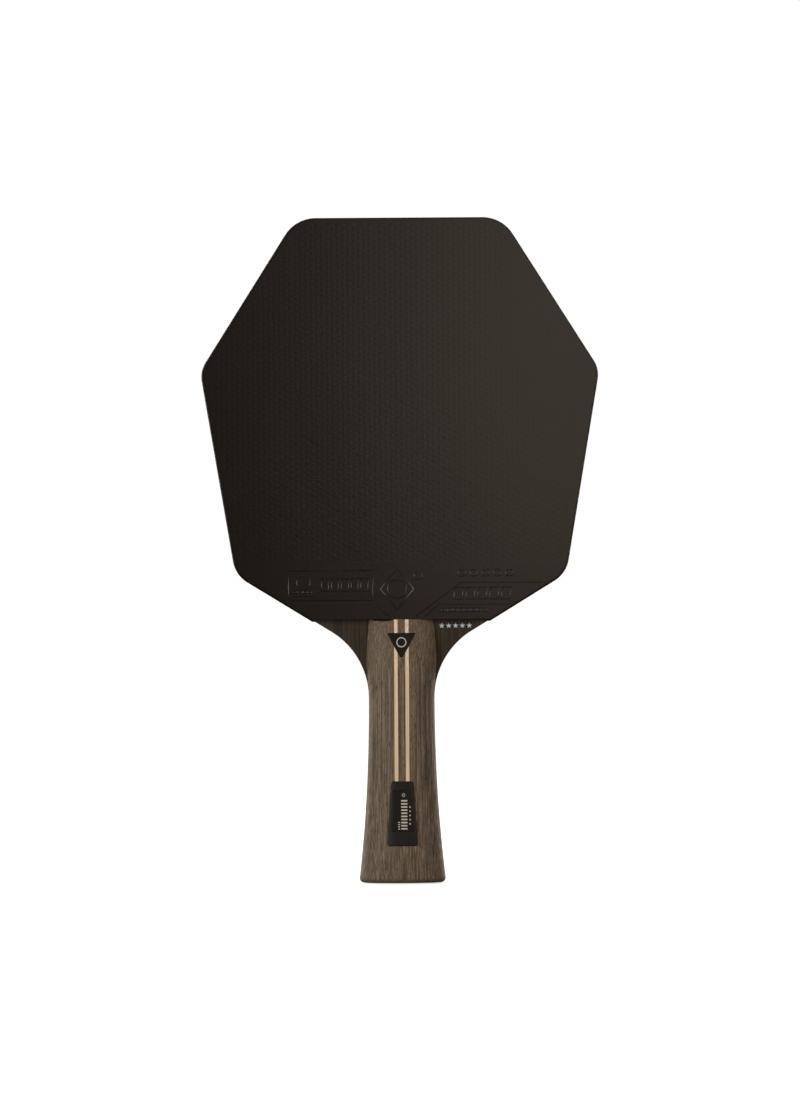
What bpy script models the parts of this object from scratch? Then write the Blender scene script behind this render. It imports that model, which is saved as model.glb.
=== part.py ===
"""A table tennis paddle with a hexagonal head, two rubbers and a flared handle.

Frame: +Z runs from the butt to the tip of the head, +X is the width and -Y is the front.
The origin is the centre of the flat end of the butt. The constants are in millimetres.
"""

from math import asin, atan, cos, pi, radians, sin

import bmesh
import bpy
from mathutils import Matrix, Vector

MM = 0.001

# Head: the corners of the edge tape's outline before they are rounded.
LENGTH = 257.0
TOP_HALF_WIDTH = 39.9
SIDE_HALF_WIDTH = 77.2
SIDE_HEIGHT = 198.0
LOW_HALF_WIDTH = 64.0
LOW_HEIGHT = 119.1
LOWER_SIDE_RUN = 1.629  # sideways travel for each unit of height
TOP_RADIUS = 14.0
SIDE_RADIUS = 10.5
LOW_RADIUS = 12.0
NECK_RADIUS = 30.0
RUBBER_BOTTOM = 101.8
RUBBER_INSET = 0.3

# Lamination, from the middle of the blade outwards.
GLUE = 0.03
CORE = 2.74
INNER_PLY = 0.8
CARBON_PLY = 0.25
OUTER_VENEER = 0.49
BLADE = 6.0
SPONGE = 2.0
TOPSHEET = 1.94

# Edge tape between the two rubbers.
TAPE_WIDTH = 5.8
TAPE = 0.5
TAPE_BOTTOM = 100.9
BLADE_INSET = TAPE + 0.05

# Handle: an oval whose half width and half thickness follow these values.
WAIST_HALF_WIDTH = 12.78
WAIST_HALF_DEPTH = 11.2
WAIST_HEIGHT = 70.0
BUTT_EXTRA_WIDTH = 4.1
BUTT_EXTRA_DEPTH = 1.3
BUTT_RADIUS = 2.0
NECK_SWELL = 1.1
NECK_SWELL_HEIGHT = 86.0
NECK_TAPER = 0.5
OVAL_POWER = 2.25
RAMP_START = 80.0
RAMP_DROP = 4.0
RAMP_POWER = 1.5
SCALE_TOP = RUBBER_BOTTOM - 0.3
OVAL_SEGMENTS = 20

# Strips of each handle scale.
INLAY_MIDDLE = 2.14
INLAY_WIDTH = 1.35
BUTT_BLOCK_TOP = 16.0
STRIP_GAP = 0.05

# Trim set into the front scale.
BADGE_BOTTOM = 14.4
BADGE_TOP = 39.2
BADGE_BOTTOM_HALF = 5.95
BADGE_TOP_HALF = 4.1
BADGE_RADIUS = 1.1
BADGE_FLOOR = 10.2
BADGE_PROUD = 0.3
PLATE_BOTTOM = 19.8
PLATE_TOP = 35.6
PLATE_BOTTOM_HALF = 4.5
PLATE_TOP_HALF = 3.4
PLATE_RADIUS = 0.5
PLATE_PROUD = 0.05
EMBLEM_TOP = 96.4
EMBLEM_TIP = 87.2
EMBLEM_HALF_WIDTH = 5.5
EMBLEM_TIP_HALF = 0.5
EMBLEM_RADIUS = 0.25
EMBLEM_THICKNESS = 0.9
EMBLEM_PROUD = 0.1
POCKET_GAP = 0.15

ARC_STEP = radians(9)
OUTSIDE = 20.0  # farther out than any point of the handle

COLOURS = {
    "pale_wood": ((0.62, 0.44, 0.26), 0.6),
    "dark_veneer": ((0.10, 0.075, 0.055), 0.5),
    "carbon": ((0.02, 0.02, 0.022), 0.4),
    "inlay": ((0.56, 0.42, 0.29), 0.5),
    "black_rubber": ((0.022, 0.019, 0.016), 0.5),
    "red_rubber": ((0.42, 0.02, 0.02), 0.45),
    "sponge": ((0.06, 0.055, 0.05), 0.9),
    "tape": ((0.015, 0.014, 0.013), 0.7),
    "badge": ((0.016, 0.013, 0.011), 0.4),
    "emblem": ((0.005, 0.005, 0.005), 0.25),
}


def clear_scene():
    for thing in list(bpy.data.objects):
        bpy.data.objects.remove(thing, do_unlink=True)


def new_collection(name):
    collection = bpy.data.collections.new(name)
    bpy.context.scene.collection.children.link(collection)
    return collection


def new_material(name, look):
    colour, roughness = COLOURS[look]
    material = bpy.data.materials.new(name)
    material.use_nodes = True
    shader = material.node_tree.nodes["Principled BSDF"]
    shader.inputs["Base Color"].default_value = (*colour, 1.0)
    shader.inputs["Roughness"].default_value = roughness
    shader.inputs["Metallic"].default_value = 0.0
    material.diffuse_color = (*colour, 1.0)
    return material


# Outlines are lists of (x, z) points that run counter-clockwise seen from the front.


def inset_corners(corners, distance):
    """Move each side of a closed outline inwards by a distance."""
    moved = []
    for index, corner in enumerate(corners):
        before = corners[index - 1]
        after = corners[(index + 1) % len(corners)]
        side_in = (Vector(corner) - Vector(before)).normalized()
        side_out = (Vector(after) - Vector(corner)).normalized()
        inwards = Vector((-side_in.y - side_out.y, side_in.x + side_out.x))
        shift = inwards * distance / (1 + side_in.dot(side_out))
        moved.append(tuple(Vector(corner) + shift))
    return moved


def round_corner(before, corner, after, radius):
    """Replace a corner by the points of an arc that touches both of its sides."""
    if radius <= 0:
        return [tuple(corner)]
    corner = Vector(corner)
    side_in = (corner - Vector(before)).normalized()
    side_out = (Vector(after) - corner).normalized()
    turn = -side_in.angle_signed(side_out)
    sense = 1 if turn > 0 else -1
    start = corner - side_in * radius * abs(sin(turn) / (1 + cos(turn)))
    middle = start + Vector((-side_in.y, side_in.x)) * radius * sense
    steps = max(2, round(abs(turn) / ARC_STEP))
    spoke = start - middle
    points = []
    for step in range(steps + 1):
        turned = Matrix.Rotation(turn * step / steps, 2) @ spoke
        points.append(tuple(middle + turned))
    return points


def round_corners(corners, radii):
    points = []
    for index, corner in enumerate(corners):
        after = corners[(index + 1) % len(corners)]
        points += round_corner(corners[index - 1], corner, after, radii[index])
    return points


def mirrored(right_half):
    """Complete an outline whose right half runs from the bottom to the top."""
    return right_half + [(-x, z) for x, z in reversed(right_half)]


def head_corners(inset, bottom):
    """Corners of the head's outline moved inwards, and cut off level at the bottom height."""
    low_end = LOW_HALF_WIDTH - LOWER_SIDE_RUN * (LOW_HEIGHT - bottom + inset)
    right = [
        (low_end, bottom - inset),
        (LOW_HALF_WIDTH, LOW_HEIGHT),
        (SIDE_HALF_WIDTH, SIDE_HEIGHT),
        (TOP_HALF_WIDTH, LENGTH),
    ]
    return inset_corners(mirrored(right), inset)


def head_radii(inset):
    right = [0.0, LOW_RADIUS - inset, SIDE_RADIUS - inset, TOP_RADIUS - inset]
    return right + right[::-1]


def head_outline(inset, bottom):
    return round_corners(head_corners(inset, bottom), head_radii(inset))


def tape_outline():
    """A band round the head, open at its lower side."""
    return head_outline(0.0, TAPE_BOTTOM) + head_outline(TAPE, TAPE_BOTTOM)[::-1]


def trapezoid(bottom, top, bottom_half, top_half):
    return mirrored([(bottom_half, bottom), (top_half, top)])


# Handle form


def smooth_step(value):
    value = min(max(value, 0.0), 1.0)
    return value * value * (3 - 2 * value)


def butt_inset(height):
    """How far the rounded edge of the butt lies inside the handle's side."""
    if height >= BUTT_RADIUS:
        return 0.0
    return BUTT_RADIUS - (BUTT_RADIUS**2 - (BUTT_RADIUS - height) ** 2) ** 0.5


def flare(height):
    return max(0.0, 1 - height / WAIST_HEIGHT) ** 2


def half_width(height):
    swell = NECK_SWELL * smooth_step((height - WAIST_HEIGHT) / (NECK_SWELL_HEIGHT - WAIST_HEIGHT))
    taper = NECK_TAPER * smooth_step((height - NECK_SWELL_HEIGHT) / (SCALE_TOP - NECK_SWELL_HEIGHT))
    return WAIST_HALF_WIDTH + BUTT_EXTRA_WIDTH * flare(height) + swell - taper - butt_inset(height)


def half_depth(height):
    ramp = max(0.0, (height - RAMP_START) / (SCALE_TOP - RAMP_START)) ** RAMP_POWER
    straight = WAIST_HALF_DEPTH + BUTT_EXTRA_DEPTH * flare(height)
    return straight - RAMP_DROP * ramp - butt_inset(height)


def tongue_half_width(height, depth):
    """Half width of the blade's tongue in the handle, at a distance from the middle plane."""
    side = WAIST_HALF_WIDTH + BUTT_EXTRA_WIDTH * flare(height) - butt_inset(height)
    return side * (1 - (abs(depth) / half_depth(height)) ** OVAL_POWER) ** (1 / OVAL_POWER)


def spread(start, end, count):
    """Evenly spaced heights from the start, which is one of them, up to the end, which isn't."""
    return [start + (end - start) * step / count for step in range(count)]


def tongue_heights():
    rounded = [BUTT_RADIUS * (1 - cos(angle)) for angle in spread(0, pi / 2, 4)]
    return rounded + spread(BUTT_RADIUS, WAIST_HEIGHT, 8) + [WAIST_HEIGHT]


def scale_heights():
    neck = spread(WAIST_HEIGHT, RAMP_START, 3)[1:] + spread(RAMP_START, SCALE_TOP, 6)
    return tongue_heights() + neck + [SCALE_TOP]


def blade_outline(depth):
    """The outline of one ply: its tongue, neck, wings and head."""
    low, side, top = head_corners(BLADE_INSET, RUBBER_BOTTOM)[1:4]
    tongue = [(tongue_half_width(height, depth), height) for height in tongue_heights()]
    waist = tongue[-1][0]
    neck = (waist, low[1] - (low[0] - waist) / LOWER_SIDE_RUN)
    right = list(tongue)
    right += round_corner(tongue[-1], neck, low, NECK_RADIUS)
    right += round_corner(neck, low, side, LOW_RADIUS - BLADE_INSET)
    right += round_corner(low, side, top, SIDE_RADIUS - BLADE_INSET)
    right += round_corner(side, top, (-top[0], top[1]), TOP_RADIUS - BLADE_INSET)
    return mirrored(right)


def scale_section(height, sign, grow):
    """Points of a scale's outer side, from the right to the left; sign -1 is the front."""
    back = BLADE / 2 + GLUE
    width = half_width(height) + grow
    depth = half_depth(height) + grow
    first = asin((back / depth) ** (OVAL_POWER / 2))
    points = []
    for step in range(OVAL_SEGMENTS + 1):
        angle = first + (pi - 2 * first) * step / OVAL_SEGMENTS
        reach = abs(cos(angle)) ** (2 / OVAL_POWER)
        x = width * reach if angle < pi / 2 else -width * reach
        y = sign * depth * sin(angle) ** (2 / OVAL_POWER)
        points.append((x, y, height))
    return points


# Solids


def add_object(name, data, collection, look=None):
    thing = bpy.data.objects.new(name, data)
    collection.objects.link(thing)
    if look:
        data.materials.append(new_material(name, look))
    return thing


def flat_curve(name, outline, thickness):
    curve = bpy.data.curves.new(name, "CURVE")
    curve.dimensions = "2D"
    curve.fill_mode = "BOTH"
    curve.extrude = thickness * MM / 2
    spline = curve.splines.new("POLY")
    spline.points.add(len(outline) - 1)
    for point, (x, z) in zip(spline.points, outline):
        point.co = (x * MM, z * MM, 0.0, 1.0)
    spline.use_cyclic_u = True
    return curve


def facing_front(y, height=0.0, lean=0.0):
    """A frame whose x and y run across and up the paddle and whose z faces the front.

    Its top leans backwards by the angle given.
    """
    return Matrix.Translation(Vector((0, y, height)) * MM) @ Matrix.Rotation(pi / 2 - lean, 4, "X")


def add_plate(name, outline, middle, thickness, collection, look):
    plate = add_object(name, flat_curve(name, outline, thickness), collection, look)
    plate.matrix_world = facing_front(middle)
    return plate


def as_cutter(name, mesh, placement, collection):
    cutter = add_object(name, mesh, collection)
    cutter.matrix_world = placement
    cutter.display_type = "WIRE"
    cutter.hide_render = True
    return cutter


def add_prism(name, outline, frame, low, high, collection):
    """A cutter: the outline made solid between two distances along the frame's z."""
    placement = frame @ Matrix.Translation((0, 0, (low + high) / 2 * MM))
    curve = add_object(name, flat_curve(name, outline, high - low), collection)
    bpy.context.view_layer.update()
    evaluated = curve.evaluated_get(bpy.context.evaluated_depsgraph_get())
    mesh = bpy.data.meshes.new_from_object(evaluated)
    weld = bmesh.new()
    weld.from_mesh(mesh)
    bmesh.ops.remove_doubles(weld, verts=weld.verts, dist=0.001 * MM)
    bmesh.ops.recalc_face_normals(weld, faces=weld.faces)
    weld.to_mesh(mesh)
    weld.free()
    bpy.data.objects.remove(curve)
    return as_cutter(name, mesh, placement, collection)


def add_box(name, low, high, collection):
    """A cutter: a box between two opposite corners."""
    mesh = bpy.data.meshes.new(name)
    box = bmesh.new()
    bmesh.ops.create_cube(box, size=1.0)
    size = Vector(high) - Vector(low)
    bmesh.ops.scale(box, vec=size * MM, verts=box.verts)
    box.to_mesh(mesh)
    box.free()
    middle = (Vector(low) + Vector(high)) / 2
    return as_cutter(name, mesh, Matrix.Translation(middle * MM), collection)


def handle_mesh(name, sign, grow):
    """Loft the whole form of one scale, from the butt to its top end."""
    form = bmesh.new()
    rings = []
    for height in scale_heights():
        section = scale_section(height, sign, grow)
        rings.append([form.verts.new(Vector(point) * MM) for point in section])
    for lower, upper in zip(rings, rings[1:]):
        for index in range(OVAL_SEGMENTS + 1):
            following = (index + 1) % (OVAL_SEGMENTS + 1)
            form.faces.new((lower[index], lower[following], upper[following], upper[index]))
    form.faces.new(rings[0])
    form.faces.new(rings[-1])
    bmesh.ops.recalc_face_normals(form, faces=form.faces)
    mesh = bpy.data.meshes.new(name)
    form.to_mesh(mesh)
    form.free()
    mesh.shade_smooth()
    mesh.set_sharp_from_angle(angle=radians(35))
    return mesh


def add_boolean(thing, operation, cutter):
    cut = thing.modifiers.new(f"{operation.lower()} {cutter.name}", "BOOLEAN")
    cut.operation = operation
    cut.object = cutter


def add_handle_piece(name, sign, collection, look, keep, cuts=(), grow=0.0):
    """The part of a scale's form that lies in one cutter and outside the others."""
    piece = add_object(name, handle_mesh(name, sign, grow), collection, look)
    add_boolean(piece, "INTERSECT", keep)
    for cutter in cuts:
        add_boolean(piece, "DIFFERENCE", cutter)
    return piece


# Sub-assemblies


def add_blade(collection):
    inner_face = CORE / 2 + GLUE + INNER_PLY
    carbon_face = inner_face + GLUE + CARBON_PLY
    plies = [
        ("inner_ply", inner_face - INNER_PLY / 2, INNER_PLY, "pale_wood"),
        ("carbon_ply", carbon_face - CARBON_PLY / 2, CARBON_PLY, "carbon"),
        ("outer_veneer", (BLADE - OUTER_VENEER) / 2, OUTER_VENEER, "dark_veneer"),
    ]
    add_plate("blade_core", blade_outline(0.0), 0.0, CORE, collection, "pale_wood")
    for name, depth, thickness, look in plies:
        outline = blade_outline(depth)
        add_plate(f"front_{name}", outline, -depth, thickness, collection, look)
        add_plate(f"back_{name}", outline, depth, thickness, collection, look)


def add_rubbers(collection):
    outline = head_outline(RUBBER_INSET, RUBBER_BOTTOM)
    sponge_middle = BLADE / 2 + GLUE + SPONGE / 2
    sheet_middle = sponge_middle + SPONGE / 2 + GLUE + TOPSHEET / 2
    for side, sign, look in (("front", -1, "black_rubber"), ("back", 1, "red_rubber")):
        add_plate(f"{side}_sponge", outline, sign * sponge_middle, SPONGE, collection, "sponge")
        add_plate(f"{side}_topsheet", outline, sign * sheet_middle, TOPSHEET, collection, look)


def strips():
    """Name, look, lowest x and highest x of the five strips of a scale."""
    near = INLAY_MIDDLE - INLAY_WIDTH / 2
    far = INLAY_MIDDLE + INLAY_WIDTH / 2
    return [
        ("left_strip", "dark_veneer", -OUTSIDE, -far - STRIP_GAP),
        ("left_inlay", "inlay", -far, -near),
        ("centre_strip", "dark_veneer", STRIP_GAP - near, near - STRIP_GAP),
        ("right_inlay", "inlay", near, far),
        ("right_strip", "dark_veneer", far + STRIP_GAP, OUTSIDE),
    ]


def add_scales(collection, cutters, badge_pocket, emblem_pocket):
    pieces = [("butt_block", "dark_veneer", -OUTSIDE, OUTSIDE, -BUTT_RADIUS, BUTT_BLOCK_TOP)]
    for name, look, low, high in strips():
        pieces.append((name, look, low, high, BUTT_BLOCK_TOP + STRIP_GAP, LENGTH))
    for name, look, low, high, bottom, top in pieces:
        keep = add_box(f"{name}_bounds", (low, -OUTSIDE, bottom), (high, OUTSIDE, top), cutters)
        front_cuts = [badge_pocket] if name == "butt_block" else [badge_pocket, emblem_pocket]
        add_handle_piece(f"front_{name}", -1, collection, look, keep, front_cuts)
        add_handle_piece(f"back_{name}", 1, collection, look, keep)


def add_badge(collection, cutters):
    """The badge's two pieces, and the cutter of the pocket that they sit in."""
    outer = trapezoid(BADGE_BOTTOM, BADGE_TOP, BADGE_BOTTOM_HALF, BADGE_TOP_HALF)
    inner = trapezoid(PLATE_BOTTOM, PLATE_TOP, PLATE_BOTTOM_HALF, PLATE_TOP_HALF)
    base = facing_front(-BADGE_FLOOR)
    outer_shape = round_corners(outer, [BADGE_RADIUS] * 4)
    inner_shape = round_corners(inner, [PLATE_RADIUS] * 4)
    window_shape = round_corners(inset_corners(inner, -POCKET_GAP), [PLATE_RADIUS + POCKET_GAP] * 4)
    pocket_shape = round_corners(inset_corners(outer, -POCKET_GAP), [BADGE_RADIUS + POCKET_GAP] * 4)
    outside = add_prism("badge_bounds", outer_shape, base, 0, OUTSIDE, cutters)
    inside = add_prism("badge_plate_bounds", inner_shape, base, 0, OUTSIDE, cutters)
    window = add_prism("badge_window", window_shape, base, -OUTSIDE, OUTSIDE, cutters)
    add_handle_piece("badge_frame", -1, collection, "badge", outside, [window], BADGE_PROUD)
    add_handle_piece("badge_plate", -1, collection, "badge", inside, (), PLATE_PROUD)
    return add_prism("badge_pocket", pocket_shape, base, -GLUE, OUTSIDE, cutters)


def add_emblem(collection, cutters):
    """The emblem plate, and the cutter of the pocket that it sits in."""
    height = EMBLEM_TOP - EMBLEM_TIP
    middle = (EMBLEM_TOP + EMBLEM_TIP) / 2
    lean = atan((half_depth(EMBLEM_TIP) - half_depth(EMBLEM_TOP)) / height)
    face = facing_front(-half_depth(middle), middle, lean)
    corners = trapezoid(-height / 2, height / 2, EMBLEM_TIP_HALF, EMBLEM_HALF_WIDTH)
    shape = round_corners(corners, [EMBLEM_RADIUS] * 4)
    pocket_shape = round_corners(inset_corners(corners, -POCKET_GAP), [EMBLEM_RADIUS] * 4)
    bounds = add_prism("emblem_bounds", shape, face, -EMBLEM_THICKNESS, OUTSIDE, cutters)
    add_handle_piece("emblem_plate", -1, collection, "emblem", bounds, (), EMBLEM_PROUD)
    floor = -EMBLEM_THICKNESS - GLUE
    return add_prism("emblem_pocket", pocket_shape, face, floor, OUTSIDE, cutters)


def main():
    clear_scene()
    parts = new_collection("table_tennis_paddle")
    cutters = new_collection("cutters")
    add_blade(parts)
    add_rubbers(parts)
    add_plate("edge_tape", tape_outline(), 0.0, TAPE_WIDTH, parts, "tape")
    badge_pocket = add_badge(parts, cutters)
    emblem_pocket = add_emblem(parts, cutters)
    add_scales(parts, cutters, badge_pocket, emblem_pocket)


main()
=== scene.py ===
"""Looks of the table tennis paddle: finished meshes, materials, studio and camera.

Lengths are in millimetres in the constants and in the outlines, and in metres in the scene and
in the constants of the studio.
+Z runs from the butt to the tip of the head, and -Y is the front.
"""

from math import acos, asin, cos, pi, radians, sin

import bmesh
import bpy
import numpy as np
from mathutils import Matrix, Vector
from mathutils.geometry import delaunay_2d_cdt


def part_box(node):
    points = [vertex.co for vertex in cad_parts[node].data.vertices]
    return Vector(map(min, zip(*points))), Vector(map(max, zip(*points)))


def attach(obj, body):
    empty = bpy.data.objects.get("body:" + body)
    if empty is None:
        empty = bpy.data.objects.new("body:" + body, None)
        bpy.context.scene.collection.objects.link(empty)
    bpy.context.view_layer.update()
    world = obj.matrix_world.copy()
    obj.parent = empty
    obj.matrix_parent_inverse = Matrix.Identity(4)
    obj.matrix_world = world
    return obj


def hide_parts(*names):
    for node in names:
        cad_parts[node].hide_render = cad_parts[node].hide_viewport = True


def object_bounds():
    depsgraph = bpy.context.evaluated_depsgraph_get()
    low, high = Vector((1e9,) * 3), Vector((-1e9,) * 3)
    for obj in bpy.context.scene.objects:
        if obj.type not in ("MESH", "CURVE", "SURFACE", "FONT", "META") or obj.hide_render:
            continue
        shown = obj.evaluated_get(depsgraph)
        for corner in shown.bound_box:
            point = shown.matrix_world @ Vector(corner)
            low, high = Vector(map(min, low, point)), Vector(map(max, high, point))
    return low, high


MM = 0.001
TINY = 0.0005 * MM  # points nearer than this are one point
SLIVER = 0.005 * MM  # narrowest face that a cut may leave
TUBE_WELD = 0.002 * MM  # the same for the tubes of the relief
ALIKE = 0.01  # lengths that differ by less count as equal

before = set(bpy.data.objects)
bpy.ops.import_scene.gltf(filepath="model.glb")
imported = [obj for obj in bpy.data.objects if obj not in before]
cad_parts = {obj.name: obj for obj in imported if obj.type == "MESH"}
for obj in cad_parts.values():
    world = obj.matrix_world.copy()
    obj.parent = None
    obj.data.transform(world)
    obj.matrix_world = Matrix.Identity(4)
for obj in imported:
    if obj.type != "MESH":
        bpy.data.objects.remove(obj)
cad_low, cad_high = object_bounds()


def y_span(node):
    """Lowest and highest y of a CAD node, in millimetres."""
    low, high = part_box(node)
    return low.y / MM, high.y / MM


# Head
LENGTH = cad_high.z / MM
TOP_HALF_WIDTH = 39.9
SIDE_HALF_WIDTH = 77.2
SIDE_HEIGHT = 198.0
LOW_HALF_WIDTH = 64.0
LOW_HEIGHT = 119.1
LOWER_SIDE_RUN = 1.629
TOP_RADIUS = 14.0
SIDE_RADIUS = 10.5
LOW_RADIUS = 12.0
NECK_RADIUS = 30.0
RUBBER_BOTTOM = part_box("front_topsheet")[0].z / MM
RUBBER_INSET = 0.3
TAPE = 0.5
TAPE_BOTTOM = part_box("edge_tape")[0].z / MM
BLADE_INSET = TAPE + 0.05  # the tape lies round the blade with a hair's gap
BLADE_FACE = y_span("back_outer_veneer")[1]
RUBBER_FACE = y_span("back_topsheet")[1]

# Handle
WAIST_HALF_WIDTH = 12.78
WAIST_HALF_DEPTH = 11.2
WAIST_HEIGHT = 70.0
BUTT_EXTRA_WIDTH = 4.1
BUTT_EXTRA_DEPTH = 1.3
BUTT_RADIUS = 2.0
NECK_SWELL = 1.1
NECK_SWELL_HEIGHT = 86.0
NECK_TAPER = 0.5
OVAL_POWER = 2.25
RAMP_START = 80.0
RAMP_DROP = 4.0
RAMP_POWER = 1.5
SCALE_BACK = y_span("back_centre_strip")[0]
SCALE_TOP = RUBBER_BOTTOM - 0.3
STRIP_EXTRA = 0.2  # how much farther up, towards the rubber, the finished strips run
INLAY_MIDDLE = 2.14
INLAY_WIDTH = 1.35
STRIP_LINE = 0.02  # width of glue line left beside each inlay
BUTT_BLOCK_TOP = 16.0
BLOCK_LINE = 0.04  # glue line over the butt block
TOP_GAP = 0.75
TOP_GAP_MIDDLE = -7.2
TOP_GAP_HALF_WIDTH = 4.2

# Trim
BADGE_BOTTOM = 14.4
BADGE_TOP = 39.2
BADGE_BOTTOM_HALF = 5.95
BADGE_TOP_HALF = 4.1
BADGE_RADIUS = 1.1
BADGE_FLOOR = 10.2  # distance of its pocket's floor from the middle plane
BADGE_PROUD = 0.3
BADGE_FACE_STEPS = (0.35, 0.7)  # rings between the rim and the window, as shares of the way
PLATE_BOTTOM = 19.8
PLATE_TOP = 35.6
PLATE_BOTTOM_HALF = 4.5
PLATE_TOP_HALF = 3.4
PLATE_RADIUS = 0.5
PLATE_PROUD = 0.05
PLATE_EDGE = 0.06
PLATE_GAP = 0.08
EMBLEM_TOP = 96.4
EMBLEM_TIP = 87.2
EMBLEM_HALF_WIDTH = 5.5
EMBLEM_TIP_HALF = 0.5
EMBLEM_RADIUS = 0.25
EMBLEM_PROUD = 0.1
EMBLEM_DEPTH = 1.0  # depth of its pocket
EMBLEM_EDGE = 0.08
POCKET_GAP = 0.12
POCKET_OVERLAP = 0.03

# Marks on the trim
MARK_SINK = 0.02
MARK_PROUD = 0.03
RIDGE_SINK = 0.05
RIDGE_PROUD = 0.12
# Rows of bars: (lowest x, highest x, first height, pitch, radius, count)
BADGE_BARS = [(-0.5, 2.0, 21.0, 1.2, 0.28, 10), (-1.7, -0.9, 20.9, 0.85, 0.17, 4)]
BADGE_RIDGES = [(-3.0, 3.0, 15.9, 1.2, 0.3, 3), (-2.4, 2.4, 36.6, 1.1, 0.25, 2)]
# Column of dots: (x, first height, pitch, radius, count)
BADGE_DOTS = (2.95, 22.9, 1.62, 0.3, 5)
# Rings: (x, height, radius, line width)
BADGE_RING = (0.5, 34.0, 0.5, 0.2)
EMBLEM_RING = (0.0, 92.9, 1.75, 0.35)

# Row of small stars on the blade, right of the handle
STAR_COUNT = 5
STAR_FIRST = 15.7
STAR_PITCH = 2.65
STAR_HEIGHT = 99.15
STAR_RADIUS = 1.12
STAR_WAIST = 0.42  # inner corners' share of the radius

# Pimples on the inner side of each topsheet
PIMPLE_COLUMN = 2.04
PIMPLE_PITCH = 2.35
PIMPLE_RADIUS = 0.82
PIMPLE_HEIGHT = 0.95
PIMPLE_OVERLAP = 0.02  # how far the pimples reach into the sheet
PIMPLE_BAND = 3.0  # they are made this far in from the rim; a block stands for the rest
PIMPLE_SIDES = 12

# Dimples of the playing faces, one over each pimple
DIMPLE_DEPTH = 0.045
DIMPLE_MARGIN = 1.8  # least distance from the rim
DIMPLE_START = 124.0  # on the front face they are only above its relief
DIMPLE_FADE = 4.0  # height over which they get their full depth there
LATTICE_SHARE = 3  # steps of the face's mesh from one pimple to the next
LATTICE_MARGIN = 0.45  # least distance of its points from the rim

# Relief on the front topsheet
RELIEF_RADIUS = 0.34
RELIEF_SINK = 0.25  # depth of its ridges' middle line below the face

# Rounding of edges: (drop from the face, inset) of each ring
RIM_ROUNDING = [(0.16, 0.0), (0.06, 0.03), (0.02, 0.08), (0.0, 0.16), (0.0, 0.8)]
BADGE_OUTER_ROUNDING = [(0.22, 0.0), (0.08, 0.05), (0.0, 0.18), (0.0, 0.3)]
BADGE_INNER_ROUNDING = [(0.0, -0.24), (0.0, -0.14), (0.16, 0.0)]
# Sides of a pimple: (share of its height, share of its radius), from the sponge to the sheet
PIMPLE_SIDE = [(0.0, 0.92), (0.25, 0.92), (0.7, 1.0), (1.0, 1.16)]
# Faces of an outer veneer: (share of its thickness, inset)
VENEER_ROUNDING = [(0.0, 0.0), (0.45, 0.0), (0.72, 0.06), (0.9, 0.18), (1.0, 0.36), (1.0, 0.8)]
# Section of the edge tape: (inset, distance from the blade's middle) on the front half
TAPE_SECTION = [(TAPE, 2.9), (0.14, 2.9), (0.04, 2.82), (0.0, 2.6)]

ARC_STEP = radians(3)
OUTLINE_STEP = 1.3
TRIM_STEP = 0.8
PILL_STEPS = 8
SHARP = 35  # degrees; flatter edges are shaded smooth
TUBE_SHARP = 50
SIDEWAYS = 0.8  # largest y of the normal of a face that looks sideways


# Outlines are lists of (x, z) points that run counter-clockwise seen from the front.


def inset_corners(corners, distance):
    """Move each side of a closed outline inwards by a distance."""
    moved = []
    for index, corner in enumerate(corners):
        corner = Vector(corner)
        before = Vector(corners[index - 1])
        after = Vector(corners[(index + 1) % len(corners)])
        side_in = (corner - before).normalized()
        side_out = (after - corner).normalized()
        inwards = Vector((-side_in.y - side_out.y, side_in.x + side_out.x))
        moved.append(tuple(corner + inwards * distance / (1 + side_in.dot(side_out))))
    return moved


def round_corner(before, corner, after, radius):
    """Replace a corner by the points of an arc that touches both of its sides."""
    if radius <= 0:
        return [tuple(corner)]
    corner = Vector(corner)
    side_in = (corner - Vector(before)).normalized()
    side_out = (Vector(after) - corner).normalized()
    turn = -side_in.angle_signed(side_out)
    sense = 1 if turn > 0 else -1
    start = corner - side_in * radius * abs(sin(turn) / (1 + cos(turn)))
    middle = start + Vector((-side_in.y, side_in.x)) * radius * sense
    steps = max(2, round(abs(turn) / ARC_STEP))
    spoke = start - middle
    turns = [Matrix.Rotation(turn * step / steps, 2) for step in range(steps + 1)]
    return [tuple(middle + turned @ spoke) for turned in turns]


def round_corners(corners, radii):
    points = []
    for index, corner in enumerate(corners):
        after = corners[(index + 1) % len(corners)]
        points += round_corner(corners[index - 1], corner, after, radii[index])
    return points


def mirrored(right_half):
    """Complete an outline whose right half runs from the bottom to the top."""
    return right_half + [(-x, z) for x, z in reversed(right_half)]


def split_sides(outline, step):
    """Add points to an outline's long sides."""
    points = []
    for index, point in enumerate(outline):
        start = Vector(point)
        side = Vector(outline[(index + 1) % len(outline)]) - start
        count = max(1, round(side.length / step))
        points += [tuple(start + side * part / count) for part in range(count)]
    return points


def circle(x, z, radius, count=48):
    angles = [2 * pi * step / count for step in range(count)]
    return [(x + radius * cos(angle), z + radius * sin(angle)) for angle in angles]


def star(x, z, radius):
    """A plain five-pointed star."""
    points = []
    for step in range(10):
        reach = radius if step % 2 == 0 else radius * STAR_WAIST
        angle = pi / 2 + step * pi / 5
        points.append((x + reach * cos(angle), z + reach * sin(angle)))
    return points


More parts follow.
